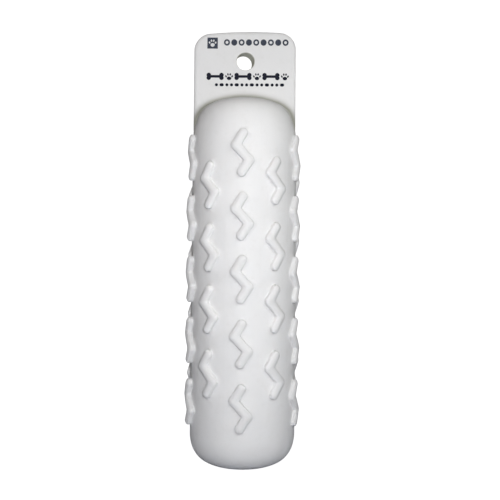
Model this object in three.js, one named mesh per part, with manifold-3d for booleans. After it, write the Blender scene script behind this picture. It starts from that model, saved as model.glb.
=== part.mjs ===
// A soft retriever training bumper, in millimetres, +Z up, origin at the centre of the flat on its lower end.
// A soft moulded cover with raised zigzag treads is filled by two foam halves that close round a hard ribbed core tube.
// A flat rope tab stands in the mid-plane at the top: its tongue goes down through a slot in the cover into the core's
// slotted top plug, where two cross pins hold it, so that a throw pulls on the core and not on the soft cover.
import * as THREE from "three";
import { mergeVertices } from "three/addons/utils/BufferGeometryUtils.js";
import Module from "manifold-3d";

// ---- driving dimensions ----
const TOTAL_H = 305; // tab top, 12 in
const BODY_H = 257; // top of the upper dome
const BODY_R = 36.8; // plain body, without treads
const FOOT_R = 15; // flat on the lower end
const LOWER_END = [
  [FOOT_R, 0],
  [20.6, 0.7],
  [25.4, 2.35],
  [29.7, 4.85],
  [32.7, 7.95],
  [34.9, 11.8],
  [36.2, 16.2],
  [BODY_R, 22],
]; // radius, height
const UPPER_END = [
  [BODY_R, 224.5],
  [36.4, 231.4],
  [35.4, 237.5],
  [33.5, 243.3],
  [31.1, 247.4],
  [27.6, 250.6],
  [23.4, 252.8],
  [16.5, 254.9],
  [8.4, 256.6],
  [0, BODY_H],
];
const WALL = 4.5; // cover wall
const GAP = 0.3; // between neighbouring pieces
const SIDES = 50; // facets round the body

const COLUMNS = 10; // columns of treads, one each 36 degrees
const TREAD_PITCH = 42.2; // along a column
const TREAD_TOP_Z = 213.4; // centre of the highest tread of an even column
const TREADS_EVEN = 5; // even columns, the first one facing the front
const TREADS_ODD = 4; // odd columns, half a pitch lower but for ODD_RISE
const ODD_RISE = 1.1;
const TREAD_H = 3.7; // how far a tread stands proud
const TREAD_ROOT = 1.6; // how far its root reaches into the wall
const TREAD_HALF_W = 2.9; // half the stroke at its base
const TREAD_TOP_HALF_W = 2.3; // and along its top
const TREAD_PATH = [
  [-0.45, 13],
  [-5.0, 5],
  [3.7, -5],
  [-1.05, -13],
]; // centre line of the three strokes: round the body, up

const TAB_W = 72.2;
const TAB_T = 6.4;
const TAB_CORNER = 11.4;
const TAB_CROWN = 0.9; // the top edge bows up by this in the middle
const TAB_EDGE = 1.1; // edge rounding
const FOOT_FILLET = 6; // where the tab's faces run into the dome
const HOLE_R = 6.2; // throw-rope hole
const HOLE_FRONT = [0.2, 283.4]; // its middle on the front face, as x, z
const HOLE_REAR = [-1.8, 282.5]; // and on the rear face: the hole runs a little askew
const TONGUE_W = 24;
const TONGUE_T = 4;
const TONGUE_BOTTOM = 210.6;

const CORE_R = 17;
const CORE_WALL = 2.5;
const CORE_Z0 = 30;
const CORE_Z1 = 222;
const RIB_R = 19.2;
const RIB_W = 5;
const RIB_ZS = [50, 88, 126, 164, 202];
const PLUG_FLANGE = 6;
const PLUG_SPIGOT = 16;
const PIN_R = 2;
const PIN_X = 7;
const PIN_Z = 214.6;

// ---- solids ----
const wasm = await Module();
wasm.setup();

function solid(geometry) {
  const g = geometry.index ? geometry.toNonIndexed() : geometry.clone();
  const bare = new THREE.BufferGeometry().setAttribute(
    "position",
    g.getAttribute("position"),
  );
  const merged = mergeVertices(bare, 1e-4);
  return new wasm.Manifold(
    new wasm.Mesh({
      numProp: 3,
      vertProperties: new Float32Array(merged.attributes.position.array),
      triVerts: new Uint32Array(merged.index.array),
    }),
  );
}

function geometryOf(manifold) {
  const m = manifold.getMesh();
  const v = new Float32Array(m.numVert * 3);
  for (let i = 0; i < m.numVert; i++)
    v.set(m.vertProperties.subarray(i * m.numProp, i * m.numProp + 3), i * 3);
  const g = new THREE.BufferGeometry()
    .setAttribute("position", new THREE.BufferAttribute(v, 3))
    .setIndex(new THREE.BufferAttribute(m.triVerts, 1));
  g.computeVertexNormals();
  return g;
}

// A profile of [radius, height] pairs, from the bottom of the axis up the outside, turned about Z.
function lathe(profile, sides = SIDES) {
  const points = profile.map(([r, z]) => new THREE.Vector2(r, z));
  return solid(
    new THREE.LatheGeometry(points, sides).rotateX(Math.PI / 2),
  );
}

function box(w, d, h, x, y, z) {
  return solid(new THREE.BoxGeometry(w, d, h).translate(x, y, z));
}

// A cylinder along Y.
function rod(r, length, x, z, sides = 20) {
  return solid(new THREE.CylinderGeometry(r, r, length, sides).translate(x, 0, z));
}

const tri = (m) => m.getMesh().triVerts.length / 3;

// ---- the body's outline ----
// The profile moved out by `out` (negative for in), square to its own surface, as [radius, height] pairs.
function bodyProfile(out) {
  const p = [[0, 0], ...LOWER_END, ...UPPER_END];
  return p.map(([r, z], i) => {
    const [r0, z0] = p[Math.max(i - 1, 0)],
      [r1, z1] = p[Math.min(i + 1, p.length - 1)];
    if (r === 0) return [0, z + (i ? out : -out)];
    const l = Math.hypot(r1 - r0, z1 - z0);
    return [r + ((z1 - z0) / l) * out, i === 1 ? -out : z - ((r1 - r0) / l) * out];
  });
}
const bodySolid = (out, sides = SIDES) => lathe(bodyProfile(out), sides);

// ---- treads ----
// Outline of a zigzag stroke of half width w, as closed [u, v] points: round ends, round outer knees, sharp inner knees.
function strokeOutline(path, w, endSegments, kneeSegments) {
  const P = path.map(([x, y]) => new THREE.Vector2(x, y));
  const dir = (a, b) => b.clone().sub(a).normalize();
  const side = [];
  const points = [...P, ...P.slice(1, -1).reverse()];
  const n = points.length; // out along the path and back, which gives both sides
  for (let i = 0; i < n; i++) {
    const a = points[(i + n - 1) % n],
      b = points[i],
      c = points[(i + 1) % n];
    const d0 = dir(a, b),
      d1 = dir(b, c);
    const n0 = new THREE.Vector2(-d0.y, d0.x),
      n1 = new THREE.Vector2(-d1.y, d1.x);
    const isEnd = a.distanceTo(c) < 1e-9;
    if (isEnd) {
      const start = Math.atan2(n0.y, n0.x);
      for (let k = 0; k <= endSegments; k++) {
        const t = start - (Math.PI * k) / endSegments;
        side.push([b.x + w * Math.cos(t), b.y + w * Math.sin(t)]);
      }
      continue;
    }
    const cross = d0.x * d1.y - d0.y * d1.x;
    if (cross < 0) {
      // outer knee
      let t0 = Math.atan2(n0.y, n0.x),
        t1 = Math.atan2(n1.y, n1.x);
      while (t1 > t0) t1 -= 2 * Math.PI;
      for (let k = 0; k <= kneeSegments; k++) {
        const t = t0 + ((t1 - t0) * k) / kneeSegments;
        side.push([b.x + w * Math.cos(t), b.y + w * Math.sin(t)]);
      }
    } else {
      const m = n0.clone().add(n1).normalize();
      const l = w / m.dot(n0);
      side.push([b.x + m.x * l, b.y + m.y * l]);
    }
  }
  return side;
}

// One tread, wrapped round the body at angle theta (0 faces -Y) with its centre at height z.
function tread(theta, z) {
  const wide = strokeOutline(TREAD_PATH, TREAD_HALF_W, 3, 1);
  const narrow = strokeOutline(TREAD_PATH, TREAD_TOP_HALF_W, 3, 1);
  const shape = new THREE.Shape(wide.map(([u, v]) => new THREE.Vector2(u, v)));
  const g = new THREE.ExtrudeGeometry(shape, {
    depth: TREAD_H + TREAD_ROOT,
    bevelEnabled: false,
    curveSegments: 1,
  });
  const p = g.getAttribute("position");
  for (let i = 0; i < p.count; i++) {
    let u = p.getX(i),
      v = p.getY(i);
    if (p.getZ(i) > 0.5 * TREAD_H) {
      // the top face is the narrower outline, so the sides have draft
      const k = wide.findIndex(([a, b]) => Math.hypot(a - u, b - v) < 1e-4);
      [u, v] = narrow[k];
    }
    const r = BODY_R - TREAD_ROOT + p.getZ(i);
    const a = theta + u / (BODY_R + TREAD_H);
    p.setXYZ(i, r * Math.sin(a), -r * Math.cos(a), z + v);
  }
  return solid(g);
}

// ---- outer cover ----
const tongueSlot = box(
  TONGUE_W + 2 * GAP,
  TONGUE_T + 2 * GAP,
  40,
  0,
  0,
  BODY_H - 5,
);
let cover = bodySolid(0).subtract(bodySolid(-WALL, 40));
for (let c = 0; c < COLUMNS; c++) {
  const even = c % 2 === 0;
  for (let i = 0; i < (even ? TREADS_EVEN : TREADS_ODD); i++)
    cover = cover.add(
      tread(
        (c * 2 * Math.PI) / COLUMNS,
        TREAD_TOP_Z - (even ? i : i + 0.5) * TREAD_PITCH + (even ? 0 : ODD_RISE),
      ),
    );
}
cover = cover.subtract(tongueSlot);

// ---- rope tab ----
function tabShape() {
  const w = TAB_W / 2 - TAB_EDGE,
    top = TOTAL_H - TAB_EDGE,
    low = 232,
    r = TAB_CORNER - TAB_EDGE;
  const s = new THREE.Shape();
  s.moveTo(-w, low);
  s.lineTo(w, low);
  s.lineTo(w, top - TAB_CROWN - r);
  s.absarc(w - r, top - TAB_CROWN - r, r, 0, Math.PI / 2, false);
  s.quadraticCurveTo(0, top + TAB_CROWN, -(w - r), top - TAB_CROWN);
  s.absarc(-(w - r), top - TAB_CROWN - r, r, Math.PI / 2, Math.PI, false);
  s.closePath();
  return s;
}
let tab = solid(
  new THREE.ExtrudeGeometry(tabShape(), {
    depth: TAB_T - 2 * TAB_EDGE,
    bevelEnabled: true,
    bevelSize: TAB_EDGE,
    bevelThickness: TAB_EDGE,
    bevelSegments: 2,
    curveSegments: 8,
  })
    .translate(0, 0, -(TAB_T / 2 - TAB_EDGE))
    .rotateX(Math.PI / 2),
);
// The fillet's section, half the thickness against the distance above the dome, swept over the dome.
const fillet = [
  [3, 0.8],
  [1.7, 1.8],
  [0.7, 3.2],
  [0.2, 4.6],
  [-0.4, FOOT_FILLET],
].map(([y, d]) => [TAB_T / 2 + y, d]);
const footShape = new THREE.Shape(
  [
    [TAB_T / 2 + 3, -1],
    ...fillet,
    ...fillet.map(([y, d]) => [-y, d]).reverse(),
    [-TAB_T / 2 - 3, -1],
  ].map(([y, d]) => new THREE.Vector2(y, -d)),
);
const dome = UPPER_END.slice(2);
const foot = solid(
  new THREE.ExtrudeGeometry(footShape, {
    steps: 30,
    extrudePath: new THREE.CatmullRomCurve3([
      ...dome.map(([r, z]) => new THREE.Vector3(-r, 0, z)),
      ...dome.slice(0, -1).reverse().map(([r, z]) => new THREE.Vector3(r, 0, z)),
    ]),
  }),
).intersect(box(TAB_W - 2 * TAB_EDGE, 40, 40, 0, 0, 261));
tab = tab.add(foot).subtract(bodySolid(GAP));
// the hole, sheared so that it runs askew
tab = tab.subtract(
  solid(
    new THREE.CylinderGeometry(HOLE_R, HOLE_R, 20, 40).applyMatrix4(
      new THREE.Matrix4().set(
        1, (HOLE_REAR[0] - HOLE_FRONT[0]) / TAB_T, 0, (HOLE_FRONT[0] + HOLE_REAR[0]) / 2,
        0, 1, 0, 0,
        0, (HOLE_REAR[1] - HOLE_FRONT[1]) / TAB_T, 1, (HOLE_FRONT[1] + HOLE_REAR[1]) / 2,
        0, 0, 0, 1,
      ),
    ),
  ),
);
tab = tab.add(
  box(
    TONGUE_W,
    TONGUE_T,
    BODY_H + 4 - TONGUE_BOTTOM,
    0,
    0,
    (BODY_H + 4 + TONGUE_BOTTOM) / 2,
  ),
);
for (const s of [-1, 1])
  tab = tab.subtract(rod(PIN_R + GAP, 20, s * PIN_X, PIN_Z));

// ---- core ----
const ribs = [];
for (const z of RIB_ZS)
  ribs.push(
    [CORE_R, z - RIB_W / 2],
    [RIB_R, z - RIB_W / 2 + 1],
    [RIB_R, z + RIB_W / 2 - 1],
    [CORE_R, z + RIB_W / 2],
  );
const bore = CORE_R - CORE_WALL;
let tube = lathe(
  [[bore, CORE_Z0], [CORE_R, CORE_Z0], ...ribs, [CORE_R, CORE_Z1], [bore, CORE_Z1], [bore, CORE_Z0]],
  32,
);
for (const s of [-1, 1])
  tube = tube.subtract(rod(PIN_R + GAP, 50, s * PIN_X, PIN_Z));

// A flanged plug: `up` is 1 for the top end and -1 for the bottom.
function plug(zEnd, up) {
  const spigot = bore - GAP;
  const a = zEnd - up * PLUG_SPIGOT, // spigot tip
    b = zEnd + up * GAP, // underside of the flange
    c = b + up * PLUG_FLANGE;
  const p = [
    [0, a],
    [spigot - 1, a],
    [spigot, a + up],
    [spigot, b],
    [CORE_R, b],
    [CORE_R, c - up],
    [CORE_R - 1, c],
    [0, c],
  ];
  return lathe(up > 0 ? p : p.reverse(), 32);
}
let plugTop = plug(CORE_Z1, 1).subtract(
  box(TONGUE_W + 2 * GAP, TONGUE_T + 2 * GAP, 40, 0, 0, TONGUE_BOTTOM - GAP + 20),
);
for (const s of [-1, 1])
  plugTop = plugTop.subtract(rod(PIN_R + GAP, 50, s * PIN_X, PIN_Z));
const plugBottom = plug(CORE_Z0, -1);

const pinLength = 2 * Math.sqrt(CORE_R ** 2 - (PIN_X + PIN_R) ** 2) - 0.6;
const pin = (s) => rod(PIN_R, pinLength, s * PIN_X, PIN_Z, 16);

// ---- foam halves ----
const top = CORE_Z1 + GAP + PLUG_FLANGE + GAP,
  bottom = CORE_Z0 - GAP - PLUG_FLANGE - GAP;
const pocket = lathe(
  [
    [0, bottom],
    [RIB_R + GAP, bottom],
    [RIB_R + GAP, top],
    [0, top],
  ],
  32,
).add(box(TONGUE_W + 2 * GAP, TONGUE_T + 2 * GAP, 60, 0, 0, top + 25));
const filling = bodySolid(-WALL - GAP, 40).subtract(pocket);
const half = (s) =>
  filling.intersect(box(100, 100, 400, 0, s * (50 + GAP / 2), BODY_H / 2));

// ---- materials and scene ----
const skin = new THREE.MeshStandardMaterial({ color: 0xe9e9eb, roughness: 0.5, metalness: 0 });
const tabVinyl = new THREE.MeshStandardMaterial({ color: 0xe2e2e3, roughness: 0.4, metalness: 0 });
const foam = new THREE.MeshStandardMaterial({ color: 0xe6dfc4, roughness: 0.95, metalness: 0 });
const hard = new THREE.MeshStandardMaterial({ color: 0xd9d7cf, roughness: 0.35, metalness: 0 });
const plugPlastic = new THREE.MeshStandardMaterial({ color: 0x2c2d30, roughness: 0.4, metalness: 0 });
const steel = new THREE.MeshStandardMaterial({ color: 0xb9bcc0, roughness: 0.3, metalness: 1 });

const bumper = new THREE.Group();
for (const [name, manifold, material] of [
  ["outer_cover", cover, skin],
  ["rope_tab", tab, tabVinyl],
  ["foam_half_front", half(-1), foam],
  ["foam_half_rear", half(1), foam],
  ["core_tube", tube, hard],
  ["core_plug_top", plugTop, plugPlastic],
  ["core_plug_bottom", plugBottom, plugPlastic],
  ["tab_pin_left", pin(-1), steel],
  ["tab_pin_right", pin(1), steel],
]) {
  const mesh = new THREE.Mesh(geometryOf(manifold), material);
  mesh.name = name;
  bumper.add(mesh);
}

export default bumper;
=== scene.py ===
# Looks of a retriever training bumper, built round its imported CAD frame. Lengths in the helpers are millimetres;
# every finished mesh is in metres, in the frame of the CAD model.
import math

import bpy
import numpy as np
from mathutils import Matrix, Vector, noise
from mathutils.geometry import delaunay_2d_cdt


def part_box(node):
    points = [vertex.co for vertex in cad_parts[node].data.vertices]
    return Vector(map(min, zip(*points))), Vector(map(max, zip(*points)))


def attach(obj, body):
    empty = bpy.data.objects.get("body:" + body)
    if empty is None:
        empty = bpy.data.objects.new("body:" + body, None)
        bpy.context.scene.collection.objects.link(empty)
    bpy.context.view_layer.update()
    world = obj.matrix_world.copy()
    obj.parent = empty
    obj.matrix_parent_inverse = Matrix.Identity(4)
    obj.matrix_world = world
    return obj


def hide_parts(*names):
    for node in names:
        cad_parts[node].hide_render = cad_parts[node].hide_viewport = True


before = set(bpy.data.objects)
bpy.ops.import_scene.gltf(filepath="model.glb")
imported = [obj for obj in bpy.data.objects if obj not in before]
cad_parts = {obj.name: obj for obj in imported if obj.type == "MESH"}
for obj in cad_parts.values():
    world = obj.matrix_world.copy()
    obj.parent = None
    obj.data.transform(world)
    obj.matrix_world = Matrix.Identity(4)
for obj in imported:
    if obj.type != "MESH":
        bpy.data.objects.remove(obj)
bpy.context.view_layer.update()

MM = 0.001

cover_lo, cover_hi = (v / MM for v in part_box("outer_cover"))
tab_lo, tab_hi = (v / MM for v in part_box("rope_tab"))
BODY_H = 257.0
TAB_TOP = tab_hi.z
TAB_HALF_W = tab_hi.x
TAB_HALF_T = 3.2
BODY_R = 36.8
WALL = 4.5

# ------------------------------------------------------------------ materials


def material(name):
    m = bpy.data.materials.new(name)
    m.use_nodes = True
    m.node_tree.nodes.clear()
    return m, m.node_tree


def add(tree, kind, **values):
    n = tree.nodes.new(kind)
    for k, v in values.items():
        setattr(n, k, v)
    return n


def set_in(node, **values):
    for k, v in values.items():
        node.inputs[k.replace("_", " ")].default_value = v
    return node


def ramp(tree, fac, stops):
    n = add(tree, "ShaderNodeValToRGB")
    e = n.color_ramp.elements
    while len(e) < len(stops):
        e.new(0.5)
    for i, (p, c) in enumerate(stops):
        e[i].position = p
        e[i].color = (c, c, c, 1) if isinstance(c, (int, float)) else (*c, 1)
    tree.links.new(fac, n.inputs[0])
    return n.outputs[0]


def math_node(tree, op, a, b=None, clamp=False):
    n = add(tree, "ShaderNodeMath", operation=op, use_clamp=clamp)
    for i, v in enumerate((a, b)):
        if v is None:
            continue
        if isinstance(v, (int, float)):
            n.inputs[i].default_value = v
        else:
            tree.links.new(v, n.inputs[i])
    return n.outputs[0]


def mix_rgb(tree, fac, a, b, blend="MIX"):
    n = add(tree, "ShaderNodeMix", data_type="RGBA", blend_type=blend, clamp_factor=True)
    for sock, v in ((n.inputs[0], fac), (n.inputs[6], a), (n.inputs[7], b)):
        if isinstance(v, (int, float)):
            sock.default_value = v
        elif isinstance(v, tuple):
            sock.default_value = (*v, 1)
        else:
            tree.links.new(v, sock)
    return n.outputs[2]


def noise_tex(tree, coords, scale, detail=2.0, rough=0.5):
    n = add(tree, "ShaderNodeTexNoise")
    n.inputs["Scale"].default_value = scale
    n.inputs["Detail"].default_value = detail
    n.inputs["Roughness"].default_value = rough
    tree.links.new(coords, n.inputs["Vector"])
    return n.outputs["Fac"]


def bump_chain(tree, heights):
    """Heights are (height socket, distance in metres, strength); each bump feeds the next one's normal."""
    last = None
    for h, distance, strength in heights:
        n = add(tree, "ShaderNodeBump")
        n.inputs["Distance"].default_value = distance
        n.inputs["Strength"].default_value = strength
        tree.links.new(h, n.inputs["Height"])
        if last is not None:
            tree.links.new(last, n.inputs["Normal"])
        last = n.outputs["Normal"]
    return last


def object_coords(tree):
    return add(tree, "ShaderNodeTexCoord").outputs["Object"]


def soft_vinyl(name, clean, worn, grime_and_shade, rough, sss, with_tread):
    """Matt-satin moulded soft vinyl: faint mottling, a fine moulded grain, painted shade with slight dirt where treads
    meet the body, and a painted olive-grey shade where the tab meets the dome and inside the rope hole.
    """
    m, t = material(name)
    co = object_coords(t)
    big = noise_tex(t, co, 28, 3, 0.55)
    mid = noise_tex(t, co, 190, 4, 0.6)
    fine = noise_tex(t, co, 2600, 2, 0.5)
    grain = noise_tex(t, co, 900, 3, 0.6)
    colour = mix_rgb(t, ramp(t, big, [(0.3, 0.0), (0.75, 1.0)]), clean, worn)
    colour = mix_rgb(t, math_node(t, "MULTIPLY", ramp(t, mid, [(0.52, 0.0), (0.8, 1.0)]), 0.14), colour, grime_and_shade)
    if with_tread:
        # painted shade, with a little dirt, in the grooves where the treads meet the body
        crease = add(t, "ShaderNodeAttribute", attribute_name="crease").outputs["Fac"]
        tread_top = add(t, "ShaderNodeAttribute", attribute_name="tread_top").outputs["Fac"]
        crease_shade_and_dirt = math_node(t, "MULTIPLY", crease, ramp(t, mid, [(0.25, 0.55), (0.8, 1.0)]))
        colour = mix_rgb(t, math_node(t, "MULTIPLY", crease_shade_and_dirt, 0.12, clamp=True), colour, grime_and_shade)
        # painted olive-grey shade on the tab's fillet and the dome where they meet, and inside the rope hole
        foot = add(t, "ShaderNodeAttribute", attribute_name="foot").outputs["Fac"]
        colour = mix_rgb(t, math_node(t, "MULTIPLY", foot, 0.9, clamp=True), colour, (0.37, 0.375, 0.31))
        # and the tops of the treads are a touch greyer, from being handled
        colour = mix_rgb(t, math_node(t, "MULTIPLY", tread_top, 0.09, clamp=True), colour, (0.5, 0.5, 0.5))
    b = add(t, "ShaderNodeBsdfPrincipled")
    b.inputs["IOR"].default_value = 1.48
    b.inputs["Subsurface Weight"].default_value = sss
    b.inputs["Subsurface Radius"].default_value = (1.0, 0.97, 0.94)
    b.inputs["Subsurface Scale"].default_value = 0.002
    b.inputs["Specular IOR Level"].default_value = 0.25
    t.links.new(colour, b.inputs["Base Color"])
    r = math_node(t, "ADD", math_node(t, "MULTIPLY", mid, 0.16), rough - 0.08)
    r = math_node(t, "ADD", r, math_node(t, "MULTIPLY", big, 0.06))
    if with_tread:
        # the tops of the treads are rubbed a little smoother
        r = math_node(t, "SUBTRACT", r, math_node(t, "MULTIPLY", tread_top, 0.07))
    t.links.new(r, b.inputs["Roughness"])
    n = bump_chain(t, [(grain, 0.00012, 0.35), (fine, 0.00005, 0.3), (mid, 0.0004, 0.06)])
    t.links.new(n, b.inputs["Normal"])
    out = add(t, "ShaderNodeOutputMaterial")
    t.links.new(b.outputs[0], out.inputs["Surface"])
    return m


def simple(name, base, other, rough, metal=0.0, scale=300.0, bump=0.1, spec=0.5, stretch=None):
    m, t = material(name)
    co = object_coords(t)
    if stretch:
        mp = add(t, "ShaderNodeMapping")
        mp.inputs["Scale"].default_value = stretch
        t.links.new(co, mp.inputs["Vector"])
        co = mp.outputs[0]
    f = noise_tex(t, co, scale, 4, 0.6)
    g = noise_tex(t, co, scale * 5, 2, 0.5)
    b = add(t, "ShaderNodeBsdfPrincipled")
    b.inputs["Metallic"].default_value = metal
    b.inputs["Specular IOR Level"].default_value = spec
    t.links.new(mix_rgb(t, ramp(t, f, [(0.3, 0.0), (0.75, 1.0)]), base, other), b.inputs["Base Color"])
    t.links.new(math_node(t, "ADD", math_node(t, "MULTIPLY", f, 0.2), rough - 0.1), b.inputs["Roughness"])
    t.links.new(bump_chain(t, [(g, 0.0001, bump), (f, 0.0003, bump)]), b.inputs["Normal"])
    out = add(t, "ShaderNodeOutputMaterial")
    t.links.new(b.outputs[0], out.inputs["Surface"])
    return m


def foam_material():
    """Open-skinned cream foam: cells of about a millimetre."""
    m, t = material("cream_foam")
    co = object_coords(t)
    v = add(t, "ShaderNodeTexVoronoi", feature="SMOOTH_F1")
    v.inputs["Scale"].default_value = 900
    t.links.new(co, v.inputs["Vector"])
    f = noise_tex(t, co, 60, 4, 0.6)
    b = add(t, "ShaderNodeBsdfPrincipled")
    base = mix_rgb(t, f, (0.78, 0.72, 0.55), (0.66, 0.58, 0.40))
    cells = ramp(t, v.outputs["Distance"], [(0.0, 1.0), (0.6, 0.72)])
    t.links.new(mix_rgb(t, 1.0, base, cells, "MULTIPLY"), b.inputs["Base Color"])
    t.links.new(math_node(t, "ADD", math_node(t, "MULTIPLY", f, 0.1), 0.85), b.inputs["Roughness"])
    t.links.new(bump_chain(t, [(v.outputs["Distance"], 0.0006, 0.6)]), b.inputs["Normal"])
    out = add(t, "ShaderNodeOutputMaterial")
    t.links.new(b.outputs[0], out.inputs["Surface"])
    return m


COVER_VINYL = soft_vinyl("cover_vinyl", (0.82, 0.818, 0.82), (0.79, 0.79, 0.795), (0.60, 0.585, 0.56), 0.62, 0.5, True)
# the tab is the cover's vinyl painted darker, as painted shade for the tab standing back from the body; its dirt and
# shade colour is darker too
TAB_VINYL_SHADED = soft_vinyl("tab_vinyl", (0.775, 0.775, 0.78), (0.75, 0.75, 0.755), (0.55, 0.55, 0.52), 0.62, 0.2, True)
INK = simple("black_ink", (0.006, 0.007, 0.016), (0.012, 0.014, 0.028), 0.6, 0.0, 900, 0.15, 0.15)
INK_GREY = simple("grey_ink", (0.040, 0.048, 0.070), (0.065, 0.075, 0.10), 0.6, 0.0, 900, 0.15, 0.15)
FOAM = foam_material()
CORE_PLASTIC = simple("core_plastic", (0.72, 0.71, 0.66), (0.64, 0.63, 0.58), 0.34, 0.0, 120, 0.08)
PLUG_PLASTIC = simple("plug_plastic", (0.018, 0.018, 0.02), (0.035, 0.035, 0.038), 0.5, 0.0, 400, 0.2)
PIN_STEEL = simple("pin_steel", (0.62, 0.62, 0.63), (0.5, 0.5, 0.51), 0.3, 1.0, 200, 0.15, 0.5, (1, 0.05, 1))

# ------------------------------------------------------------------ body outline


def clamped_spline(points, d0, d1, n):
    """A cubic spline through points with end directions d0 and d1, as n samples."""
    p = np.array(points, float)
    t = np.concatenate([[0], np.cumsum(np.linalg.norm(np.diff(p, axis=0), axis=1))])
    h = np.diff(t)
    k = len(p)
    A, B = np.zeros((k, k)), np.zeros((k, 2))
    A[0, 0] = A[-1, -1] = 1
    B[0], B[-1] = d0, d1
    for i in range(1, k - 1):
        A[i, i - 1], A[i, i], A[i, i + 1] = 1 / h[i - 1], 2 / h[i - 1] + 2 / h[i], 1 / h[i]
        B[i] = 3 * ((p[i] - p[i - 1]) / h[i - 1] ** 2 + (p[i + 1] - p[i]) / h[i] ** 2)
    m = np.linalg.solve(A, B)
    s = np.linspace(0, t[-1], n)
    i = np.clip(np.searchsorted(t, s, side="right") - 1, 0, k - 2)
    u = ((s - t[i]) / h[i])[:, None]
    hi = h[i][:, None]
    return (
        (2 * u**3 - 3 * u**2 + 1) * p[i]
        + (u**3 - 2 * u**2 + u) * hi * m[i]
        + (-2 * u**3 + 3 * u**2) * p[i + 1]
        + (u**3 - u**2) * hi * m[i + 1]
    )


FOOT_Z, SHOULDER_Z = 22, 224.5
LOWER = [(15, 0), (20.6, 0.7), (25.4, 2.35), (29.7, 4.85), (32.7, 7.95), (34.9, 11.8), (36.2, 16.2), (BODY_R, FOOT_Z)]
UPPER = [(BODY_R, SHOULDER_Z), (36.4, 231.4), (35.4, 237.5), (33.5, 243.3), (31.1, 247.4), (27.6, 250.6), (23.4, 252.8), (16.5, 254.9), (8.4, BODY_H - 0.4), (0, BODY_H)]
lower_curve = clamped_spline(LOWER, (1, 0), (0, 1), 400)
upper_curve = clamped_spline(UPPER, (0, 1), (-1, 0), 500)
straight = np.stack([np.full(300, BODY_R), np.linspace(FOOT_Z, SHOULDER_Z, 302)[1:-1]], axis=1)
PROFILE = np.concatenate([lower_curve, straight, upper_curve])
tangent = np.gradient(PROFILE, axis=0)
tangent /= np.linalg.norm(tangent, axis=1)[:, None]
NORMAL = np.stack([tangent[:, 1], -tangent[:, 0]], axis=1)
ARC = np.concatenate([[0], np.cumsum(np.linalg.norm(np.diff(PROFILE, axis=0), axis=1))])


def at_z(z):
    """Radius, and the outline's normal (out, up), at a height on the long sides and shoulders."""
    return np.interp(z, PROFILE[:, 1], PROFILE[:, 0]), np.stack(
        [np.interp(z, PROFILE[:, 1], NORMAL[:, 0]), np.interp(z, PROFILE[:, 1], NORMAL[:, 1])], axis=-1
    )


def at_arc(s):
    return (
        np.stack([np.interp(s, ARC, PROFILE[:, 0]), np.interp(s, ARC, PROFILE[:, 1])], axis=-1),
        np.stack([np.interp(s, ARC, NORMAL[:, 0]), np.interp(s, ARC, NORMAL[:, 1])], axis=-1),
    )


def soft_wave(p):
    """The moulding's slight unevenness, in mm, for points in mm."""
    return np.array(
        [
            0.10 * noise.noise(Vector((x / 24, y / 24, z / 30)))
            + 0.035 * noise.noise(Vector((x / 7 + 31, y / 7, z / 8)))
            for x, y, z in p
        ]
    )


def body_distance(p):
    """Signed distance from points to the plain body's surface, outside positive."""
    q = np.stack([np.hypot(p[:, 0], p[:, 1]), p[:, 2]], axis=1)
    line, nor = PROFILE[::2], NORMAL[::2]
    out = np.empty(len(q))
    for a in range(0, len(q), 2000):
        d = q[a : a + 2000, None, :] - line[None]
        i = (d**2).sum(2).argmin(1)
        out[a : a + 2000] = ((q[a : a + 2000] - line[i]) * nor[i]).sum(1)
    return out


# ------------------------------------------------------------------ mesh helpers


def mesh_object(name, verts_mm, faces, smooth=True):
    me = bpy.data.meshes.new(name)
    me.from_pydata([tuple(v) for v in np.asarray(verts_mm, float) * MM], [], faces)
    me.update()
    o = bpy.data.objects.new(name, me)
    bpy.context.scene.collection.objects.link(o)
    me.polygons.foreach_set("use_smooth", [smooth] * len(me.polygons))
    return o


def weld(o, dist_mm=0.004):
    import bmesh

    bm = bmesh.new()
    bm.from_mesh(o.data)
    bmesh.ops.remove_doubles(bm, verts=bm.verts, dist=dist_mm * MM)
    bmesh.ops.dissolve_degenerate(bm, edges=bm.edges, dist=1e-8)
    bmesh.ops.recalc_face_normals(bm, faces=bm.faces)
    bm.to_mesh(o.data)
    bm.free()
    o.data.update()
    return o


def coords(o):
    c = np.empty(len(o.data.vertices) * 3)
    o.data.vertices.foreach_get("co", c)
    return c.reshape(-1, 3) / MM


def boolean(a, b, operation, keep_b=False):
    """a gets the result; b is removed."""
    mod = a.modifiers.new("b", "BOOLEAN")
    mod.operation, mod.object = operation, b
    try:
        mod.solver = "MANIFOLD"
    except TypeError:
        mod.solver = "EXACT"
    dg = bpy.context.evaluated_depsgraph_get()
    me = bpy.data.meshes.new_from_object(a.evaluated_get(dg))
    a.modifiers.clear()
    old, a.data = a.data, me
    bpy.data.meshes.remove(old)
    if not keep_b:
        data = b.data
        bpy.data.objects.remove(b)
        bpy.data.meshes.remove(data)
    return a


def smooth_all(o, angle=None):
    o.data.polygons.foreach_set("use_smooth", [True] * len(o.data.polygons))
    if angle is not None:
        o.data.set_sharp_from_angle(angle=math.radians(angle))
    o.data.update()


def give(o, mat):
    o.data.materials.clear()
    o.data.materials.append(mat)
    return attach(o, "root")


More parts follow.
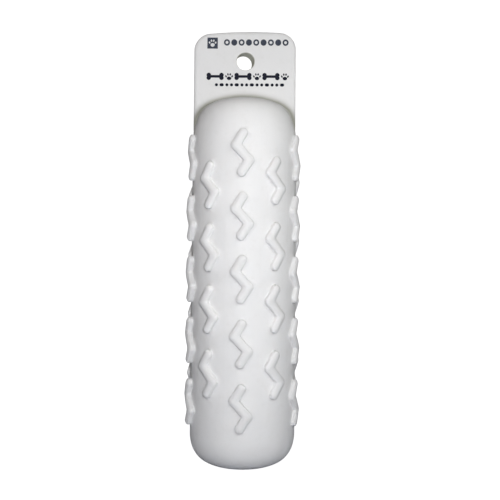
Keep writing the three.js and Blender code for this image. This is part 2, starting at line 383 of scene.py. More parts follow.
def revolve(name, rings, n, cap_low=True, cap_high=True):
    """A closed surface of revolution from (radius, height) rings, from low to high."""
    verts, faces = [], []
    for r, z in rings:
        for k in range(n):
            a = 2 * math.pi * k / n
            verts.append((r * math.sin(a), -r * math.cos(a), z))
    for i in range(len(rings) - 1):
        for k in range(n):
            a, b = i * n + k, i * n + (k + 1) % n
            faces.append((a, b, b + n, a + n))
    if cap_low:
        verts.append((0, 0, rings[0][1]))
        c = len(verts) - 1
        faces += [(c, (k + 1) % n, k) for k in range(n)]
    if cap_high:
        verts.append((0, 0, rings[-1][1]))
        c, o = len(verts) - 1, (len(rings) - 1) * n
        faces += [(c, o + k, o + (k + 1) % n) for k in range(n)]
    return verts, faces


def block(name, x0, x1, y0, y1, z0, z1):
    v = [(x, y, z) for z in (z0, z1) for y in (y0, y1) for x in (x0, x1)]
    f = [(0, 2, 3, 1), (4, 5, 7, 6), (0, 1, 5, 4), (2, 6, 7, 3), (0, 4, 6, 2), (1, 3, 7, 5)]
    return mesh_object(name, v, f, False)


# ------------------------------------------------------------------ the tab's sizes

TAB_X = -0.25  # the plate's middle
EDGE_IN, EDGE_DEEP = 2.9, 1.7  # its rounded edge: how far in from the outline, how deep from the face
HOLE_R, HOLE_EDGE = 6.2, 0.5
HOLE_FRONT, HOLE_REAR = (0.2, 283.4), (-1.8, 282.5)
CORNER = 11.1
TAB_LOW = 226.0
FILLET, FLARE = 6.0, 4.4

# ------------------------------------------------------------------ treads

COLUMNS = 10
PITCH = 42.2
TOP_Z = 213.4
ODD_RISE = 1.1  # the odd columns' treads sit this much above the half pitch
N_EVEN, N_ODD = 5, 4
R_REF = 38.4  # the flat pattern is wrapped at this radius
HALF_U = math.pi / COLUMNS * R_REF
TREAD_H = 3.7
TREAD_PATH = np.array([(-0.15, 13.0), (-5.0, 5.0), (4.05, -5.0), (-1.05, -13.0)])
# The stroke's cross-section, from its middle to the body: (distance from the centre line, height).
SECTION = [
    (0.5, 0.987),
    (0.9, 0.958),
    (1.3, 0.924),
    (1.6, 0.891),
    (1.9, 0.851),
    (2.15, 0.815),
    (2.35, 0.781),
    (2.55, 0.747),
    (2.73, 0.708),
    (2.86, 0.66),
    (2.93, 0.59),
    (2.97, 0.48),
    (2.995, 0.33),
    (3.03, 0.19),
    (3.09, 0.095),
    (3.2, 0.036),
    (3.4, 0.0),
]
MID = 2.35
# The mould was cut by hand: how far each tread sits off its place, upwards, as {(column, tread): mm}.
OFF = {
    (0, 0): -0.4, (0, 1): -0.2, (0, 2): 0.3, (0, 3): 0.24, (0, 4): 0.1,
    (9, 0): -1.3, (9, 1): -0.86, (9, 2): 0.1, (9, 3): -0.27,
    (1, 0): 1.9, (1, 1): 0.25, (1, 2): 0.93, (1, 3): -0.7,
    (4, 0): 0.4, (4, 2): -0.5, (6, 1): 0.5, (6, 3): -0.4, (5, 0): -0.6, (5, 2): 0.7,
}

TALL = {2: 0.94, 3: 0.95, 7: 1.1, 8: 1.14, (8, 0): 0.96}  # and how tall some columns' treads are, over the plain ones


def shift(c, i, v):
    """How far the points at v, measured from the middle of the cell of tread i of column c, move up."""
    off = (ODD_RISE if c % 2 else 0.0) + OFF.get((c, i), 0.0)
    return off * np.clip((PITCH / 2 - np.abs(v)) / (PITCH / 2 - 17.6), 0, 1)


def stroke_field(p):
    """Softened distance of points to the zigzag's centre line, and its gradient."""
    ds, gs = [], []
    for a, b in zip(TREAD_PATH[:-1], TREAD_PATH[1:]):
        ab = b - a
        t = np.clip(((p - a) @ ab) / (ab @ ab), 0, 1)[:, None]
        v = p - (a + t * ab)
        d = np.linalg.norm(v, axis=1)
        ds.append(d)
        gs.append(v / np.maximum(d, 1e-9)[:, None])
    ds, gs = np.array(ds), np.array(gs)
    k = 2.2
    low = ds.min(0)
    w = np.exp(-k * (ds - low))
    d = low - np.log(w.sum(0)) / k
    return d, (w[:, :, None] * gs).sum(0) / w.sum(0)[:, None]


def stroke_seeds(w, spacing):
    """Points round the stroke at a distance w, in order."""
    pts = []
    P = TREAD_PATH
    loop = [P[0], P[1], P[2], P[3], P[2], P[1]]
    n = len(loop)
    for i in range(n):
        a, b, c = loop[i - 1], loop[i], loop[(i + 1) % n]
        d0, d1 = (b - a) / np.linalg.norm(b - a), (c - b) / np.linalg.norm(c - b)
        n0, n1 = np.array([-d0[1], d0[0]]), np.array([-d1[1], d1[0]])
        turn = d0[0] * d1[1] - d0[1] * d1[0]
        if np.allclose(a, c):
            s = math.atan2(n0[1], n0[0])
            arc = [s - math.pi * j / 12 for j in range(13)]
            pts += [b + w * np.array([math.cos(t), math.sin(t)]) for t in arc]
        elif turn < 0:
            t0, t1 = math.atan2(n0[1], n0[0]), math.atan2(n1[1], n1[0])
            while t1 > t0:
                t1 -= 2 * math.pi
            pts += [b + w * np.array([math.cos(t), math.sin(t)]) for t in np.linspace(t0, t1, 6)]
        else:
            m = (n0 + n1) / np.linalg.norm(n0 + n1)
            pts.append(b + m * w / (m @ n0))
    pts = np.array(pts + [pts[0]])
    s = np.concatenate([[0], np.cumsum(np.linalg.norm(np.diff(pts, axis=0), axis=1))])
    k = int(round(s[-1] / spacing))
    at = np.linspace(0, s[-1], k, endpoint=False)
    return np.stack([np.interp(at, s, pts[:, 0]), np.interp(at, s, pts[:, 1])], axis=1)


def flow(p, target):
    """Moves points along the field to a target distance."""
    p = p.copy()
    for _ in range(60):
        d, g = stroke_field(p)
        step = np.clip(target - d, -0.06, 0.06)[:, None]
        p += step * g / np.maximum((g * g).sum(1), 0.2)[:, None]
    return p


def tread_template():
    """One cell of the pattern, as (points (u, v, height), faces): a rectangle HALF_U by PITCH / 2 each way."""
    seeds = flow(stroke_seeds(MID, 0.8), MID)
    n = len(seeds)
    rings, mid = [], [i for i, (d, _) in enumerate(SECTION) if d == MID][0]
    made = {mid: seeds}
    for i in range(mid - 1, -1, -1):
        made[i] = flow(made[i + 1], SECTION[i][0])
    for i in range(mid + 1, len(SECTION)):
        made[i] = flow(made[i - 1], SECTION[i][0])
    verts, faces = [], []
    for i in range(len(SECTION)):
        verts += [(u, v, SECTION[i][1] * TREAD_H) for u, v in made[i]]
    for i in range(len(SECTION) - 1):
        for k in range(n):
            a, b = i * n + k, i * n + (k + 1) % n
            faces.append((a, b, b + n, a + n))
    # the flat top
    co, _, fs, orig, _, _ = delaunay_2d_cdt([Vector(p) for p in made[0]], [], [list(range(n))], 1, 1e-6)
    index = []
    for c, o in zip(co, orig):
        if o:
            index.append(o[0])
        else:
            verts.append((c.x, c.y, SECTION[0][1] * TREAD_H))
            index.append(len(verts) - 1)
    faces += [tuple(index[i] for i in f) for f in fs]
    # the plain ground round it
    nu, nv = 12, 14
    border = (
        [(-HALF_U + 2 * HALF_U * i / nu, -PITCH / 2) for i in range(nu)]
        + [(HALF_U, -PITCH / 2 + PITCH * i / nv) for i in range(nv)]
        + [(HALF_U - 2 * HALF_U * i / nu, PITCH / 2) for i in range(nu)]
        + [(-HALF_U, PITCH / 2 - PITCH * i / nv) for i in range(nv)]
    )
    inner = [(-HALF_U + 2 * HALF_U * i / nu, -PITCH / 2 + PITCH * j / nv) for i in range(1, nu) for j in range(1, nv)]
    d, _ = stroke_field(np.array(inner))
    inner = [p for p, x in zip(inner, d) if x > SECTION[-1][0] + 0.9]
    outer_ring = made[len(SECTION) - 1]
    pts = [Vector(p) for p in border] + [Vector(p) for p in outer_ring] + [Vector(p) for p in inner]
    nb = len(border)
    edges = [(i, (i + 1) % nb) for i in range(nb)] + [(nb + i, nb + (i + 1) % n) for i in range(n)]
    co, _, fs, orig, _, _ = delaunay_2d_cdt(pts, edges, [], 0, 1e-6)
    ring_base = (len(SECTION) - 1) * n
    index = []
    for c, o in zip(co, orig):
        k = o[0] if o else -1
        if nb <= k < nb + n:
            index.append(ring_base + k - nb)
        else:
            verts.append((c.x, c.y, 0.0))
            index.append(len(verts) - 1)
    centre_d, _ = stroke_field(np.array([[sum(co[i].x for i in f) / len(f), sum(co[i].y for i in f) / len(f)] for f in fs]))
    faces += [tuple(index[i] for i in f) for f, x in zip(fs, centre_d) if x > SECTION[-1][0] - 0.02]
    # every face looks outwards
    v = np.array(verts)
    fixed = []
    for f in faces:
        q = v[list(f)][:, :2]
        area = (q[:, 0] * np.roll(q[:, 1], -1) - q[:, 1] * np.roll(q[:, 0], -1)).sum()
        fixed.append(tuple(f) if area > 0 else tuple(reversed(f)))
    return v, fixed


def wrap(u, v, h, theta, z0):
    """The flat pattern's points, wrapped round the body."""
    z = z0 + v
    r, nor = at_z(z)
    a = theta + u / R_REF
    rr = r + h * nor[:, 0]
    return np.stack([rr * np.sin(a), -rr * np.cos(a), z + h * nor[:, 1]], axis=1)


def build_cover():
    tv, tf = tread_template()
    verts, faces, count = [], [], 0
    low_z, high_z = TOP_Z - (N_EVEN - 0.5) * PITCH, TOP_Z + PITCH / 2
    nu = 12
    step = PITCH / 14
    for c in range(COLUMNS):
        theta = 2 * math.pi * c / COLUMNS
        even = c % 2 == 0
        for i in range(N_EVEN if even else N_ODD):
            z0 = TOP_Z - (i + (0 if even else 0.5)) * PITCH
            verts.append(wrap(tv[:, 0], tv[:, 1] + shift(c, i, tv[:, 1]), tv[:, 2] * TALL.get((c, i), TALL.get(c, 1.0)), theta, z0))
            faces += [tuple(j + count for j in f) for f in tf]
            count += len(tv)
        if not even:
            for za in (low_z, high_z - PITCH / 2):
                uu, vv = np.meshgrid(np.linspace(-HALF_U, HALF_U, nu + 1), np.arange(8) * step)
                verts.append(wrap(uu.ravel(), vv.ravel(), np.zeros(uu.size), theta, za))
                for j in range(7):
                    for k in range(nu):
                        a = count + j * (nu + 1) + k
                        faces.append((a, a + 1, a + nu + 2, a + nu + 1))
                count += uu.size
    n = COLUMNS * nu
    offset = -math.pi / COLUMNS
    s_low = np.interp(low_z, PROFILE[:, 1], ARC)
    s_high = np.interp(high_z, PROFILE[:, 1], ARC)
    for s0, s1, rows in ((0.0, s_low, 30), (s_high, ARC[-1] - 1.2, 34)):
        rings, _ = at_arc(np.linspace(s0, s1, rows))
        if s0 == 0.0:
            rings = np.concatenate([[(r, 0.0) for r in (2.0, 5.0, 8.0, 11.5)], rings])
        rv = []
        for r, z in rings:
            a = offset + 2 * math.pi * np.arange(n) / n
            rv.append(np.stack([r * np.sin(a), -r * np.cos(a), np.full(n, z)], axis=1))
        rv = np.concatenate(rv)
        m = len(rings)
        for i in range(m - 1):
            for k in range(n):
                a, b = count + i * n + k, count + i * n + (k + 1) % n
                faces.append((a, b, b + n, a + n))
        verts.append(rv)
        start = count
        count += len(rv)
        if s0 == 0.0:
            verts.append(np.array([(0.0, 0.0, 0.0)]))
            faces += [(count, start + (k + 1) % n, start + k) for k in range(n)]
        else:
            verts.append(np.array([(0.0, 0.0, BODY_H)]))
            top = start + (m - 1) * n
            faces += [(count, top + k, top + (k + 1) % n) for k in range(n)]
        count += 1
    return np.concatenate(verts), faces


outer_v, outer_f = build_cover()
cover = mesh_object("outer_cover_skin", outer_v, outer_f)
weld(cover, 0.01)


def waved(o, flat_foot=True):
    """Adds the moulding's unevenness outwards from the long axis, fading out at the flat foot."""
    c = coords(o)
    nor = np.empty(len(o.data.vertices) * 3)
    o.data.vertices.foreach_get("normal", nor)
    nor = nor.reshape(-1, 3)
    radial = c.copy()
    radial[:, 2] = 0
    keep = np.clip((c[:, 2] - 1.0) / 6.0, 0, 1)
    w = soft_wave(c) * keep - 0.06 * keep
    direction = radial / np.maximum(np.linalg.norm(radial, axis=1), 1e-6)[:, None]
    share = np.clip(np.hypot(c[:, 0], c[:, 1]) / 6, 0, 1)[:, None]
    direction = direction * share
    c = c + direction * w[:, None]
    o.data.vertices.foreach_set("co", (c * MM).ravel())
    o.data.update()


waved(cover)
print("cover outer", len(cover.data.vertices), len(cover.data.polygons))

# the body without treads, for cutting the tab's foot to it
n_side = 240
rings, _ = at_arc(np.linspace(0.0, ARC[-1] - 0.6, 260))
bv, bf = revolve("cut", [tuple(r) for r in rings], n_side)
bv[-1] = (0, 0, BODY_H)
body_cut = mesh_object("body_cut", bv, bf)
waved(body_cut)

# the inside of the cover, and its slot for the tab's tongue
inner_rings = []
for s in np.linspace(0.0, ARC[-1], 70):
    (r, z), (nr, nz) = at_arc(np.array([s]))[0][0], at_arc(np.array([s]))[1][0]
    inner_rings.append((r - nr * WALL, z - nz * WALL))
inner_rings = [(r, z) for r, z in inner_rings if r > 0.8]
iv, inf = revolve("inner", inner_rings, 72)
inner = mesh_object("inner", iv, inf)
weld(inner)
boolean(cover, inner, "DIFFERENCE")
boolean(cover, block("slot", -12.3, 12.3, -2.3, 2.3, 240, 275), "DIFFERENCE")
print("cover shell", len(cover.data.vertices), len(cover.data.polygons))


def tread_attributes(o):
    """crease is 1 where a tread meets the body; foot is 1 where the tab meets the dome and inside the rope hole;
    tread_top is 1 on the treads' tops. The material paints shade by crease and foot.
    """
    c = coords(o)
    theta = np.arctan2(c[:, 0], -c[:, 1]) % (2 * math.pi)
    col = np.round(theta / (2 * math.pi / COLUMNS)).astype(int) % COLUMNS
    u = ((theta - col * 2 * math.pi / COLUMNS + math.pi) % (2 * math.pi) - math.pi) * R_REF
    phase = np.where(col % 2 == 0, 0.0, 0.5)
    row = np.clip(np.round((TOP_Z - c[:, 2]) / PITCH - phase), 0, np.where(col % 2 == 0, N_EVEN - 1, N_ODD - 1))
    v = c[:, 2] - (TOP_Z - (row + phase) * PITCH)
    for k in range(COLUMNS):
        for i in range(N_EVEN if k % 2 == 0 else N_ODD):
            here = (col == k) & (row == i)
            v[here] -= shift(k, i, v[here])
    d, _ = stroke_field(np.stack([u, v], axis=1))
    outside = np.hypot(c[:, 0], c[:, 1]) > 30
    crease = np.exp(-(((d - 3.1) / 0.42) ** 2)) * outside
    top = np.clip((2.2 - d) / 0.8, 0, 1) * outside
    # on the dome: how near the plate's fillet; on the plate: how near the dome, for the painted shade at the tab's
    # foot
    near_tab = np.exp(-(np.maximum(np.abs(c[:, 1]) - TAB_HALF_T - 4.0, 0) / 3.0)) * np.clip((c[:, 2] - 232) / 6, 0, 1)
    from_dome = np.clip(body_distance(c), 0, 50)
    foot = near_tab * np.exp(-((from_dome / 2.6) ** 2))
    # and painted shade, with a little dirt, inside the rope hole
    part = (c[:, 1] + TAB_HALF_T) / (2 * TAB_HALF_T)
    hx, hz = (HOLE_FRONT[i] + part * (HOLE_REAR[i] - HOLE_FRONT[i]) for i in range(2))
    bore = (np.hypot(c[:, 0] - hx, c[:, 2] - hz) < HOLE_R + 0.35) & (np.abs(c[:, 1]) < TAB_HALF_T)
    foot = np.where(bore, 0.9, foot)
    for name, val in (("crease", crease), ("tread_top", top), ("foot", foot)):
        at = o.data.attributes.new(name, "FLOAT", "POINT")
        at.data.foreach_set("value", val.astype(np.float32))


tread_attributes(cover)
smooth_all(cover, 50)
give(cover, COVER_VINYL)
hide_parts("outer_cover")

# ------------------------------------------------------------------ rope tab

def tab_top(x):
    """The top edge's height: a low crown, a touch higher on the right."""
    t = x / (TAB_HALF_W - CORNER)
    return TAB_TOP - 0.04 - 0.9 * t * t + 0.4 * t


def tab_outline():
    """The plate's outline, anticlockwise from its lower right corner, with its outward normals."""
    w = TAB_HALF_W
    span = w - CORNER

    def corner(sx):
        x = span + CORNER * np.sin(np.linspace(0, math.pi / 2, 18))
        return [(sx * a, tab_top(sx * a) - CORNER + math.sqrt(max(CORNER**2 - (a - span) ** 2, 0))) for a in x]

    def side(sx):
        top = corner(sx)[-1][1]
        return [(sx * w, z) for z in np.concatenate([np.arange(TAB_LOW, 250, 0.6), np.linspace(250, top, 18)[:-1]])]

    pts = side(1) + corner(1)[::-1]
    pts += [(x, tab_top(x)) for x in np.linspace(span, -span, 26)[1:-1]]
    pts += corner(-1) + side(-1)[::-1]
    pts += [(x, TAB_LOW) for x in np.linspace(-w, w, 24)[1:-1]]
    p = np.array(pts)
    d = np.roll(p, -1, axis=0) - np.roll(p, 1, axis=0)
    nor = np.stack([d[:, 1], -d[:, 0]], axis=1)
    nor /= np.linalg.norm(nor, axis=1)[:, None]
    p[:, 0] += TAB_X
    return p, nor


def rounded(inset, deep):
    """(inset, y) round a plate's edge from its front face to its rear one."""
    half = [(inset * (1 - math.cos(a)), -(TAB_HALF_T - deep) - deep * math.sin(a)) for a in np.linspace(0, math.pi / 2, 10)]
    return half[::-1] + [(i, -y) for i, y in half]


def build_tab():
    p, nor = tab_outline()
    n = len(p)
    rings = rounded(EDGE_IN, EDGE_DEEP)
    verts, faces = [], []
    for inset, y in rings:
        q = p - nor * inset
        verts += [(x, y, z) for x, z in q]
    for i in range(len(rings) - 1):
        for k in range(n):
            a, b = i * n + k, i * n + (k + 1) % n
            faces.append((a, b, b + n, a + n))
    # the hole, a little askew through the plate
    m = 56
    base = len(verts)
    hrings = rounded(HOLE_EDGE, HOLE_EDGE)
    for grow, y in hrings:
        f = (y + TAB_HALF_T) / (2 * TAB_HALF_T)
        hx, hz = (HOLE_FRONT[i] + f * (HOLE_REAR[i] - HOLE_FRONT[i]) for i in range(2))
        for k in range(m):
            a = 2 * math.pi * k / m
            verts.append((hx + (HOLE_R + grow) * math.cos(a), y, hz + (HOLE_R + grow) * math.sin(a)))
    for i in range(len(hrings) - 1):
        for k in range(m):
            a, b = base + i * m + k, base + i * m + (k + 1) % m
            faces.append((a, a + m, b + m, b))
    # faces
    rim = p - nor * EDGE_IN
    grid = [(x, z) for x in np.arange(-32.5, 33, 2.5) for z in np.arange(TAB_LOW + 3, TAB_TOP - 2, 2.5)]
    # rows of points that follow the dome, where the foot's fillet starts
    follow = []
    sel = PROFILE[(PROFILE[:, 1] > 238)]
    nsel = NORMAL[(PROFILE[:, 1] > 238)]
    arc = np.concatenate([[0], np.cumsum(np.linalg.norm(np.diff(sel, axis=0), axis=1))])
    for off in (-1.7, -1.2, -0.8, -0.45, -0.15, 0.1, 0.35, 0.6, 0.9, 1.25, 1.65, 2.15, 2.75, 3.45, 4.25, 5.15, 6.15, 7.4):
        at = np.linspace(0, arc[-1], 74)
        r = np.interp(at, arc, sel[:, 0]) + off * np.interp(at, arc, nsel[:, 0])
        z = np.interp(at, arc, sel[:, 1]) + off * np.interp(at, arc, nsel[:, 1])
        follow += [(x, zz) for x, zz in zip(r, z)] + [(-x, zz) for x, zz in zip(r[:-1], z[:-1])]
    near = np.abs(body_distance(np.array([(x, 0, z) for x, z in grid])))
    grid = [g for g, d in zip(grid, near) if d > 8.6]
    free = []
    for x, z in grid + follow:
        if inside_outline(x, z, rim) and np.hypot(rim[:, 0] - x, rim[:, 1] - z).min() > 0.55:
            free.append((x, z))
    for side, ring0, hring0, (hx, hz) in (
        (-1, 0, base, HOLE_FRONT),
        (1, (len(rings) - 1) * n, base + (len(hrings) - 1) * m, HOLE_REAR),
    ):
        hole = np.array([(verts[hring0 + k][0], verts[hring0 + k][2]) for k in range(m)])
        pts = [Vector(q) for q in rim] + [Vector(q) for q in hole]
        pts += [Vector(q) for q in free if math.hypot(q[0] - hx, q[1] - hz) > HOLE_R + 1.6]
        edges = [(i, (i + 1) % n) for i in range(n)] + [(n + i, n + (i + 1) % m) for i in range(m)]
        co, _, fs, orig, _, _ = delaunay_2d_cdt(pts, edges, [], 0, 1e-6)
        index = []
        for c, o in zip(co, orig):
            k = o[0] if o else -1
            if 0 <= k < n:
                index.append(ring0 + k)
            elif n <= k < n + m:
                index.append(hring0 + k - n)
            else:
                verts.append((c.x, side * TAB_HALF_T, c.y))
                index.append(len(verts) - 1)
        for f in fs:
            cx, cz = sum(co[i].x for i in f) / len(f), sum(co[i].y for i in f) / len(f)
            if inside_outline(cx, cz, hole) or not inside_outline(cx, cz, rim):
                continue
            faces.append(tuple(index[i] for i in (f if side > 0 else f[::-1])))
    return np.array(verts), faces


def inside_outline(x, z, poly):
    a, b = poly, np.roll(poly, -1, axis=0)
    cross = (a[:, 1] > z) != (b[:, 1] > z)
    xi = a[:, 0] + (z - a[:, 1]) / np.where(b[:, 1] == a[:, 1], 1e-9, b[:, 1] - a[:, 1]) * (b[:, 0] - a[:, 0])
    return bool((cross & (x < xi)).sum() % 2)


tab_v, tab_f = build_tab()
tab = mesh_object("rope_tab_plate", tab_v, tab_f)
weld(tab, 0.002)
# the foot flares out to meet the dome
c = coords(tab)
nor = np.empty(len(tab.data.vertices) * 3)
tab.data.vertices.foreach_get("normal", nor)
nor = nor.reshape(-1, 3)
face = np.sign(nor[:, 1]) * np.clip(np.abs(nor[:, 1]) / 0.7, 0, 1)
foot_d = body_distance(c)
low, high = np.zeros(len(c)), np.full(len(c), FLARE)
for _ in range(12):
    # a rolled fillet between the plate's face and the dome, by halving
    mid = (low + high) / 2
    there = c.copy()
    there[:, 1] += np.sign(nor[:, 1]) * mid
    b = np.clip(body_distance(there), 0, FILLET)
    solid = (FILLET - mid) ** 2 + (FILLET - b) ** 2 > FILLET**2
    low, high = np.where(solid, mid, low), np.where(solid, high, mid)
flare = low * (foot_d < FILLET + 0.5)
flare *= np.clip((c[:, 2] - 231) / 8, 0, 1)
# a soft plate is never quite flat
wave = np.array([0.16 * noise.noise(Vector((x / 30, 9.1, z / 26))) for x, y, z in c]) * np.clip((c[:, 2] - 262) / 12, 0, 1)
c[:, 1] += face * flare + wave
tab.data.vertices.foreach_set("co", (c * MM).ravel())
tab.data.update()
print("tab plate", len(tab.data.vertices), len(tab.data.polygons))
boolean(tab, body_cut, "DIFFERENCE")
boolean(tab, block("tongue", -12, 12, -2, 2, 210.6, 262), "UNION")
print("tab", len(tab.data.vertices), len(tab.data.polygons))
tread_attributes(tab)
smooth_all(tab, 40)
give(tab, TAB_VINYL_SHADED)
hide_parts("rope_tab")

# ------------------------------------------------------------------ foam

foam_rings = []
for s in np.linspace(0.0, ARC[-1], 90):
    (r, z), (nr, nz) = at_arc(np.array([s]))[0][0], at_arc(np.array([s]))[1][0]
    foam_rings.append((r - nr * (WALL + 0.3), z - nz * (WALL + 0.3)))
foam_rings = [(r, z) for r, z in foam_rings if r > 0.8]
for side, node in ((-1, "foam_half_front"), (1, "foam_half_rear")):
    v, f = revolve("foam", foam_rings, 96)
    o = mesh_object(node.replace("half", "pad"), v, f)
    weld(o)
    v, f = revolve("pocket", [(19.5, 23.4), (19.5, 228.6)], 64)
    boolean(o, mesh_object("pocket", v, f), "DIFFERENCE")
    boolean(o, block("slot", -12.3, 12.3, -2.3, 2.3, 220, 275), "DIFFERENCE")
    y0, y1 = (-60, -0.15) if side < 0 else (0.15, 60)
    boolean(o, block("half", -60, 60, y0, y1, -10, 280), "INTERSECT")
    smooth_all(o, 35)
    give(o, FOAM)
    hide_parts(node)

# ------------------------------------------------------------------ CAD nodes that stay

for node, mat in (
    ("core_tube", CORE_PLASTIC),
    ("core_plug_top", PLUG_PLASTIC),
    ("core_plug_bottom", PLUG_PLASTIC),
    ("tab_pin_left", PIN_STEEL),
    ("tab_pin_right", PIN_STEEL),
):
    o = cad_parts[node]
    o.data.materials.clear()
    o.data.materials.append(mat)

# ------------------------------------------------------------------ printed marks on the tab: plain shapes, no lettering


def capsule(x0, x1, z, h, seg=8):
    r = h / 2
    a = [(x1 - r + r * math.cos(t), z + r * math.sin(t)) for t in np.linspace(-math.pi / 2, math.pi / 2, seg)]
    b = [(x0 + r + r * math.cos(t), z + r * math.sin(t)) for t in np.linspace(math.pi / 2, 3 * math.pi / 2, seg)]
    return a + b


def ellipse(x, z, rx, rz, turn=0.0, seg=20):
    return [
        (
            x + rx * math.cos(t) * math.cos(turn) - rz * math.sin(t) * math.sin(turn),
            z + rx * math.cos(t) * math.sin(turn) + rz * math.sin(t) * math.cos(turn),
        )
        for t in np.linspace(0, 2 * math.pi, seg, endpoint=False)
    ]


def bone(x, z, length, h):
    """A bone pictogram lying along X."""
    k = h * 0.3
    cx = length / 2 - k
    pts = []
    for sx, sz, a0, a1 in ((1, -1, -3.22, 0.65), (1, 1, -0.65, 3.22), (-1, 1, -0.08, 3.79), (-1, -1, 2.49, 6.36)):
        for t in np.linspace(a0, a1, 14):
            pts.append((x + sx * cx + k * math.cos(t), z + sz * (h / 2 - k) + k * math.sin(t)))
    return pts


marks = []
ex, ez = -23.3, 296.45  # small square emblem with a paw knocked out of it
square = [(ex - 3.7, ez - 3.95), (ex + 3.7, ez - 3.95), (ex + 3.7, ez + 3.95), (ex - 3.7, ez + 3.95)]
paw = [
    ellipse(ex, ez - 1.3, 1.5, 1.3),
    ellipse(ex - 2.15, ez + 0.35, 0.55, 0.8, 0.35),
    ellipse(ex - 0.78, ez + 1.7, 0.55, 0.85, 0.1),
    ellipse(ex + 0.78, ez + 1.7, 0.55, 0.85, -0.1),
    ellipse(ex + 2.15, ez + 0.35, 0.55, 0.8, -0.35),
]
top_marks = [(square, paw)]
for i in range(9):
    x = -13.1 + i * 5.2
    top_marks.append((ellipse(x, 297.0, 2.15, 2.3), [ellipse(x, 297.0, 1.0, 1.1)] if i % 2 == 0 else []))
x = -27.4
for i in range(3):
    marks.append((bone(x + 6.1, 272.7, 12.2, 5.2), []))
    x += 12.2 + 1.2
    pw = x + 2.6
    marks.append((ellipse(pw, 271.35, 1.6, 1.25), []))
    for dx, z, turn in ((-2.15, 272.75, 0.4), (-0.8, 274.15, 0.12), (0.8, 274.15, -0.12), (2.15, 272.75, -0.4)):
        marks.append((ellipse(pw + dx, z, 0.56, 0.84, turn), []))
    x += 5.2 + 1.2
x = -21.4
for i in range(14):
    length = 3.0 if i % 3 == 1 else 2.2
    marks.append((capsule(x, x + length, 266.7, 2.2), []))
    x += length + 1.1


def build_print(marks):
    verts, faces, n0 = [], [], 0
    for outline, holes in marks:
        loops = [outline] + holes
        pts, edges = [], []
        for loop in loops:
            b = len(pts)
            pts += [Vector(q) for q in loop]
            edges += [(b + i, b + (i + 1) % len(loop)) for i in range(len(loop))]
        co, _, fs, _, _, _ = delaunay_2d_cdt(pts, edges, [], 0, 1e-7)
        out, inn = np.array(outline), [np.array(h) for h in holes]
        keep = []
        for f in fs:
            cx, cz = sum(co[i].x for i in f) / len(f), sum(co[i].y for i in f) / len(f)
            if inside_outline(cx, cz, out) and not any(inside_outline(cx, cz, h) for h in inn):
                keep.append(tuple(f))
        k = len(co)
        for y in (-TAB_HALF_T - 0.035, -TAB_HALF_T + 0.1):
            for q in co:
                dy = 0.16 * noise.noise(Vector((q.x / 30, 9.1, q.y / 26))) * min(max((q.y - 262) / 12, 0), 1)
                verts.append((q.x, y + dy, q.y))
        count = {}
        for f in keep:
            for a, b in zip(f, f[1:] + f[:1]):
                count[(a, b)] = count.get((a, b), 0) + 1
        for f in keep:
            faces.append(tuple(n0 + i for i in f))
            faces.append(tuple(n0 + k + i for i in reversed(f)))
        for a, b in count:
            if (b, a) not in count:
                faces.append((n0 + b, n0 + a, n0 + k + a, n0 + k + b))
        n0 += 2 * k
    return verts, faces


for name, which, mat in (("tab_print", marks, INK), ("tab_emblem_row", top_marks, INK_GREY)):
    pv, pf = build_print(which)
    ink = mesh_object(name, pv, pf, False)
    weld(ink, 0.001)
    give(ink, mat)

# ------------------------------------------------------------------ stage, lights, camera


def stage_material(name, colour, lift):
    m, t = material(name)
    d = add(t, "ShaderNodeBsdfDiffuse")
    d.inputs["Color"].default_value = (*colour, 1)
    e = add(t, "ShaderNodeEmission")
    e.inputs["Color"].default_value = (1, 1, 1, 1)
    e.inputs["Strength"].default_value = lift
    path = add(t, "ShaderNodeLightPath")
    mix = add(t, "ShaderNodeMixShader")
    # a soft contact shade near the object, plain white further out
    far = add(t, "ShaderNodeVectorMath", operation="LENGTH")
    t.links.new(object_coords(t), far.inputs[0])
    far = ramp(t, far.outputs["Value"], [(0.10, 0.86), (0.36, 1.0)])
    s = math_node(t, "MULTIPLY", path.outputs["Is Camera Ray"], far)
    t.links.new(s, mix.inputs[0])
    t.links.new(d.outputs[0], mix.inputs[1])
    t.links.new(e.outputs[0], mix.inputs[2])
    out = add(t, "ShaderNodeOutputMaterial")
    t.links.new(mix.outputs[0], out.inputs["Surface"])
    return m


floor = block("stage_floor", -6000, 6000, -6000, 6000, -30, 0)
floor.data.materials.append(stage_material("stage_white", (0.42, 0.435, 0.48), 1.2))

world = bpy.data.worlds.new("studio")
bpy.context.scene.world = world
world.use_nodes = True
wt = world.node_tree
wt.nodes.clear()
seen = add(wt, "ShaderNodeBackground")
seen.inputs["Color"].default_value = (1, 1, 1, 1)
seen.inputs["Strength"].default_value = 1.1
fill = add(wt, "ShaderNodeBackground")
fill.inputs["Color"].default_value = (1.0, 0.97, 0.91, 1)
fill.inputs["Strength"].default_value = 0.03
path = add(wt, "ShaderNodeLightPath")
wm = add(wt, "ShaderNodeMixShader")
wt.links.new(path.outputs["Is Camera Ray"], wm.inputs[0])
wt.links.new(fill.outputs[0], wm.inputs[1])
wt.links.new(seen.outputs[0], wm.inputs[2])
wo = add(wt, "ShaderNodeOutputWorld")
wt.links.new(wm.outputs[0], wo.inputs["Surface"])


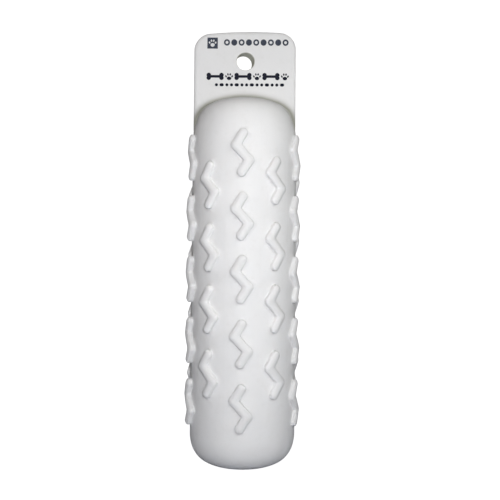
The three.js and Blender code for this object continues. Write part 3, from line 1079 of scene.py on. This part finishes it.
def lamp(o, name, at, aim, power, colour):
    o.data.energy, o.data.color = power, colour
    o.location = at
    o.rotation_mode = "QUATERNION"
    o.rotation_quaternion = (Vector(aim) - Vector(at)).to_track_quat("-Z", "Y")
    o.visible_camera = False
    bpy.context.scene.collection.objects.link(o)


def area(name, at, aim, size, power, colour=(1, 1, 1)):
    l = bpy.data.lights.new(name, "AREA")
    l.shape, l.size = "DISK", size
    lamp(bpy.data.objects.new(name, l), name, at, aim, power, colour)


def spot(name, at, aim, cone, size, power, colour=(1, 1, 1)):
    """A soft-edged beam, so that it fades towards the object's foot."""
    l = bpy.data.lights.new(name, "SPOT")
    l.spot_size, l.spot_blend, l.shadow_soft_size = math.radians(cone), 1.0, size / 2
    lamp(bpy.data.objects.new(name, l), name, at, aim, power, colour)


area("key", (0.026, -0.46, 0.18), (0, 0, 0.147), 0.09, 1.315, (0.985, 0.99, 1.0))
area("soft_right", (0.42, -0.58, 0.46), (0, 0, 0.2), 0.3, 0.5, (1.0, 1.0, 0.985))
spot("side_right", (0.52, -0.38, 0.42), (0, 0, 0.225), 50, 0.26, 3.7, (1.0, 0.995, 0.93))
spot("side_left", (-0.47, -0.48, 0.46), (0, 0, 0.235), 50, 0.3, 3.7, (1.0, 0.95, 0.91))
area("rear", (0.0, 0.85, 0.75), (0, 0, 0.15), 0.35, 5.0, (1.0, 1.0, 1.0))

AZ = math.radians(0.68)
PITCH_UP, ROLL = math.radians(1.452), math.radians(-0.49)
cam_data = bpy.data.cameras.new("camera")
cam_data.sensor_width = 36
cam_data.lens = 712.25 / 500 * 36
cam_data.clip_start, cam_data.clip_end = 0.01, 50
cam = bpy.data.objects.new("camera", cam_data)
bpy.context.scene.collection.objects.link(cam)
turn = Matrix.Rotation(AZ, 4, "Z")
cam.matrix_world = (
    turn
    @ Matrix.Translation((0.004475, -0.50514, 0.13689))
    @ Matrix.Rotation(math.pi / 2 + PITCH_UP, 4, "X")
    @ Matrix.Rotation(-ROLL, 4, "Z")
)
bpy.context.scene.camera = cam
bpy.context.scene.view_settings.view_transform = "Standard"
